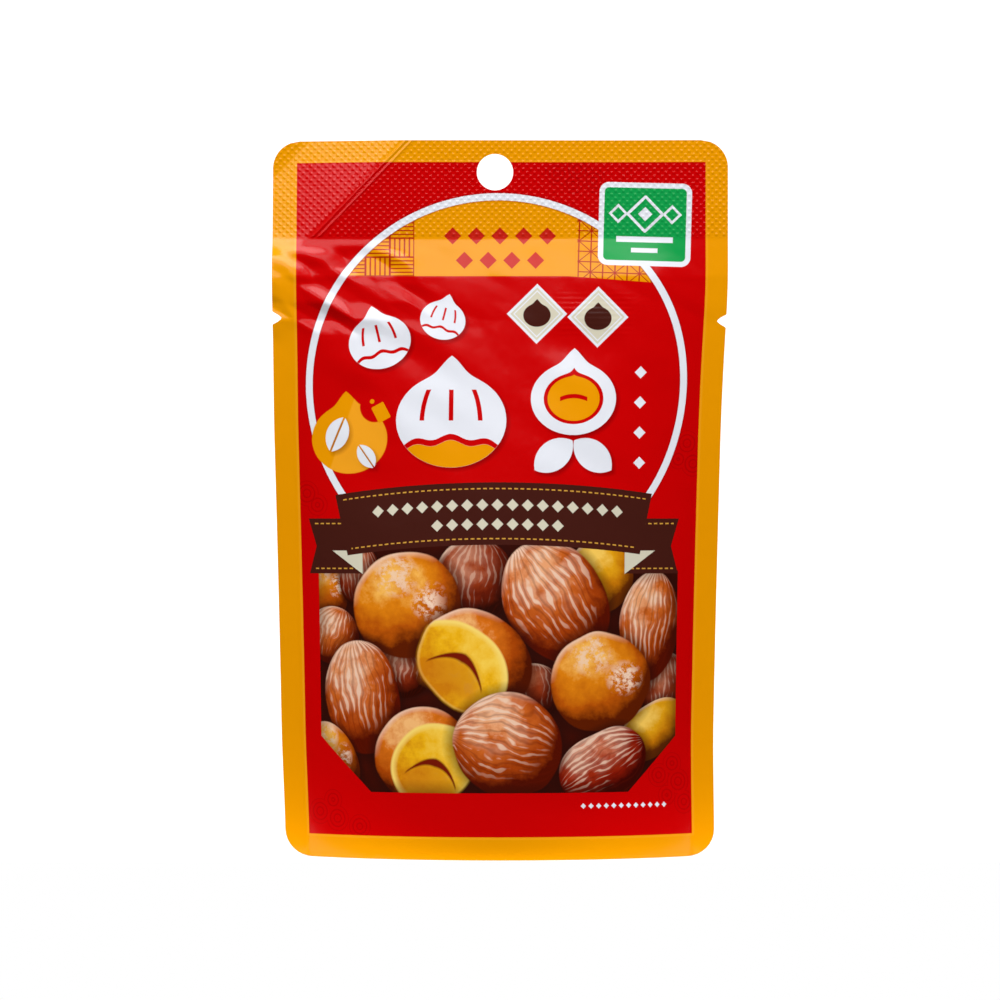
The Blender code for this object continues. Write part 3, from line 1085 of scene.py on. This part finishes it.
def picture(art, side):
    """A heap of peeled roasted chestnuts in a window with its lower corners cut off. side is -1
    for the nuts that reach the window's left half, and 1 for its right half."""
    x, y = art.spot.placed(PICTURE_CENTRE).axes()
    across = abs(x)
    frame_edge = (across - PICTURE_HALF[0]).at_least(-y - PICTURE_HALF[1])
    corner = (across - y).scaled(DIAGONAL, DIAGONAL * (PICTURE_CHAMFER - sum(PICTURE_HALF)))
    beside_ribbon = (y - 20.6).at_most(across - 33.0)
    inside = frame_edge.at_least(corner).at_least(beside_ribbon).at_least(y - 28.0)
    under = art.colour
    art.colour = GAP_BROWN
    settings = {"Vector": art.spot, "Scale": 0.09, "Detail": 0.0}
    warp = add_node(art.tree, "ShaderNodeTexNoise", settings)
    sway = Spot(art.tree, warp.outputs["Color"]).vector("SUBTRACT", (0.5, 0.5, 0.5))
    loose = art.spot.vector("ADD", sway.vector("SCALE", scale=0.9))
    skin = {
        "grain": art.noise(loose, 0.22, 4.0, 0.65),
        "patchy": art.noise(loose, 0.2, 2.0).share(5.0, -2.0),
        "flakes": art.noise(loose, 0.4, 4.0, 0.75).share(10.0, -4.6),
    }
    for item in NUTS:
        if side * (item["at"][0] - PICTURE_SPLIT) + 1.3 * max(item["size"]) > 0:
            nut(art, loose, skin, **item)
    rim = inside.share(0.34, 1.0)
    art.lay(rim * 0.55, DARK_BROWN)
    heap = art.colour
    art.colour = under
    art.lay(cover(inside), heap)


def ribbon(art):
    """The brown ribbon: two swallow tails, their cream folds, and the bowed band in front, with
    amber stitches along both edges."""
    x, y = art.spot.axes()
    across = abs(x - RIBBON_MIDDLE)
    bowed = (x * x).scaled(RIBBON_BOW, y)
    from_middle = abs(y - (TAIL_TOP + TAIL_BOTTOM) / 2)
    swallow = from_middle.scaled(-0.3, 0.0) + across - TAIL_TIP
    tail = (from_middle - (TAIL_TOP - TAIL_BOTTOM) / 2).at_least(swallow)
    tail = tail.at_least(TAIL_INNER - across)
    art.lay(cover(tail), BROWN)
    stitch = abs(from_middle - 4.9) - STITCH_HALF
    gaps = x.repeat(STITCH_PITCH) - STITCH_GAP
    art.lay(cover(stitch.at_least(gaps).at_least(tail + 0.9)), THREAD)
    slanted = across.scaled(-TAIL_FOLD_SLOPE, 0.0) + y
    fold_edge = slanted.scaled(-1.0, 61.9 - TAIL_FOLD_SLOPE * TAIL_INNER)
    tail_fold = (TAIL_INNER - across).at_least(fold_edge).at_least(y - 67.0)
    art.lay(cover(tail_fold), CREAM)
    band = abs(bowed - (RIBBON_TOP + RIBBON_BOTTOM) / 2) - (RIBBON_TOP - RIBBON_BOTTOM) / 2
    slant = across - (bowed - RIBBON_BOTTOM).scaled(0.2, 32.6)
    art.lay(cover(band.at_least(slant)), BROWN)
    stitch = abs(band + 1.35) - STITCH_HALF
    art.lay(cover(stitch.at_least(gaps).at_least(slant + 1.2)), THREAD)
    for height, count in ((77.0, 17), (72.8, 9)):
        lozenge_row(art, (0.0, height), 0, count, 3.3, 1.3, CREAM, bowed)


def picture_print(name, side):
    """The ribbon and the picture under it, on the left or right half of the front film."""
    art = Print(name, AMBER)
    ground(art, LOWER_CLOUDS)
    ring(art)
    picture(art, side)
    ribbon(art)
    return art.finish_film()


def foot_print():
    """The front film beside and below the picture."""
    art = Print("front_foot_print", AMBER)
    ground(art, LOWER_CLOUDS[1:])
    lozenge_row(art, (28.1, 11.6), 0, 12, 1.75, 0.6, WHITE)
    return art.finish_film()


def front_region(x, y):
    """Which print a point of the front film takes: 0 is the top, 1 the chestnut shapes, 2 and 3
    the left and right half of the picture, and 4 the plain film beside and below it."""
    number = np.where(x < PICTURE_SPLIT, 2, 3)
    beside = np.abs(x - PICTURE_CENTRE[0]) > PICTURE_HALF[0] + PLAIN_MARGIN
    below = y < PICTURE_CENTRE[1] - PICTURE_HALF[1] - PLAIN_MARGIN
    number[(beside | below) & (y < PLAIN_TOP)] = 4
    number[y > UPPER_FOOT] = 1
    number[y > TOP_FOOT - BAND_DROP * np.maximum(x - TOP_DROP_START, 0)] = 0
    return number


def back_print():
    """The back film: the same border, field and clouds round a plain cream panel with rules."""
    art = Print("back_print", AMBER)
    ground(art, BACK_CLOUDS)
    local = art.spot.placed((0, 62))
    edge = rectangle(local, 37.0, 46.0, 3.0)
    art.lay(cover(edge), BROWN)
    art.lay(cover(edge + 0.7), PANEL_CREAM)
    x, y = local.axes()
    rules = (abs(y).repeat(6.0) - 0.15).at_least(abs(x) - 31.0).at_least(abs(y) - 40.0)
    art.lay(cover(rules), RULE_BROWN)
    whole_chestnut(art, (0.0, 120.0), 0, 8.0, AMBER)
    whole_chestnut(art, (-17.5, 119.0), 14, 5.4, WHITE)
    whole_chestnut(art, (17.5, 119.0), -14, 5.4, WHITE)
    return art.finish_film(art.waffle_dots(), art.ribs())


def gusset_print():
    """Plain amber film, a little uneven."""
    art = Print("gusset_print", AMBER)
    art.lay(art.noise(art.spot, 0.3, 3.0) * 0.25, STREAK_AMBER)
    return art.finish_film()


# Studio

def soft_light(name, place, target, size, power):
    """A rectangular softbox that faces a point."""
    lamp = bpy.data.lights.new(name, "AREA")
    lamp.shape = "RECTANGLE"
    lamp.size, lamp.size_y = size
    lamp.energy = power
    light = bpy.data.objects.new(name, lamp)
    bpy.context.scene.collection.objects.link(light)
    light.location = place
    aim = Vector(target) - light.location
    light.rotation_euler = aim.to_track_quat("-Z", "Y").to_euler()


def sweep():
    """The pale floor and backdrop: one sheet, level under the pouch, a quarter circle behind it
    and upright above that."""
    turn = np.linspace(0, np.pi / 2, 25)
    curve_y = PAPER_CURVE_START + PAPER_CURVE_RADIUS * np.sin(turn)
    curve_z = PAPER_CURVE_RADIUS * (1 - np.cos(turn))
    y = np.concatenate([[PAPER_FRONT, 0.0, 0.1], curve_y, curve_y[-1:]])
    z = np.concatenate([[0, 0, 0], curve_z, [PAPER_TOP]])
    x = np.linspace(-PAPER_HALF_WIDTH, PAPER_HALF_WIDTH, 3)
    place = np.stack(np.broadcast_arrays(x, y[:, None], z[:, None]), axis=-1)
    mesh = bpy.data.meshes.new("sweep")
    mesh.from_pydata(place.reshape(-1, 3).tolist(), [], grid_faces(*place.shape[:2]).tolist())
    mesh.shade_smooth()
    material = bpy.data.materials.new("white_paper")
    material.use_nodes = True
    shader = material.node_tree.nodes["Principled BSDF"]
    shader.inputs["Base Color"].default_value = (PAPER_GREY, PAPER_GREY, PAPER_GREY, 1)
    shader.inputs["Roughness"].default_value = 1.0
    shader.inputs["Specular IOR Level"].default_value = 0.0
    shader.inputs["Emission Color"].default_value = (1, 1, 1, 1)
    shader.inputs["Emission Strength"].default_value = PAPER_GLOW
    mesh.materials.append(material)
    paper = bpy.data.objects.new("sweep", mesh)
    bpy.context.scene.collection.objects.link(paper)


def camera():
    """Level with the middle of the pouch, and at the photograph's scale."""
    lens = bpy.data.cameras.new("camera")
    lens.sensor_width = SENSOR_WIDTH
    lens.lens = SENSOR_WIDTH * CAMERA_DISTANCE * PIXELS_PER_METRE / PHOTO_PIXELS
    lens.clip_start = 0.01
    eye = bpy.data.objects.new("camera", lens)
    bpy.context.scene.collection.objects.link(eye)
    eye.location = (0, -CAMERA_DISTANCE, CAMERA_HEIGHT)
    eye.rotation_euler = (math.pi / 2, 0, 0)
    bpy.context.scene.camera = eye


def studio():
    """The paper, the lamps and a white room that hardly lights the pouch."""
    sweep()
    for name, settings in SOFTBOXES.items():
        soft_light(name, *settings)
    world = bpy.data.worlds.new("studio_air")
    world.use_nodes = True
    nodes = world.node_tree.nodes
    room = nodes.new("ShaderNodeMapRange")
    room.inputs["To Min"].default_value = ROOM_LIGHT
    room.inputs["To Max"].default_value = ROOM_AS_SEEN
    path = nodes.new("ShaderNodeLightPath")
    world.node_tree.links.new(path.outputs["Is Camera Ray"], room.inputs["Value"])
    world.node_tree.links.new(room.outputs["Result"], nodes["Background"].inputs["Strength"])
    nodes["Background"].inputs["Color"].default_value = (1, 1, 1, 1)
    bpy.context.scene.world = world
    bpy.context.scene.view_settings.view_transform = "Standard"
    bpy.context.scene.view_settings.look = "None"


camera()
studio()
front_prints = [
    top_print(),
    upper_print(),
    picture_print("front_left_print", -1),
    picture_print("front_right_print", 1),
    foot_print(),
]
film_piece("front_film", -1, front_prints, front_region)
film_piece("back_film", 1, [back_print()])
gusset_piece(gusset_print())
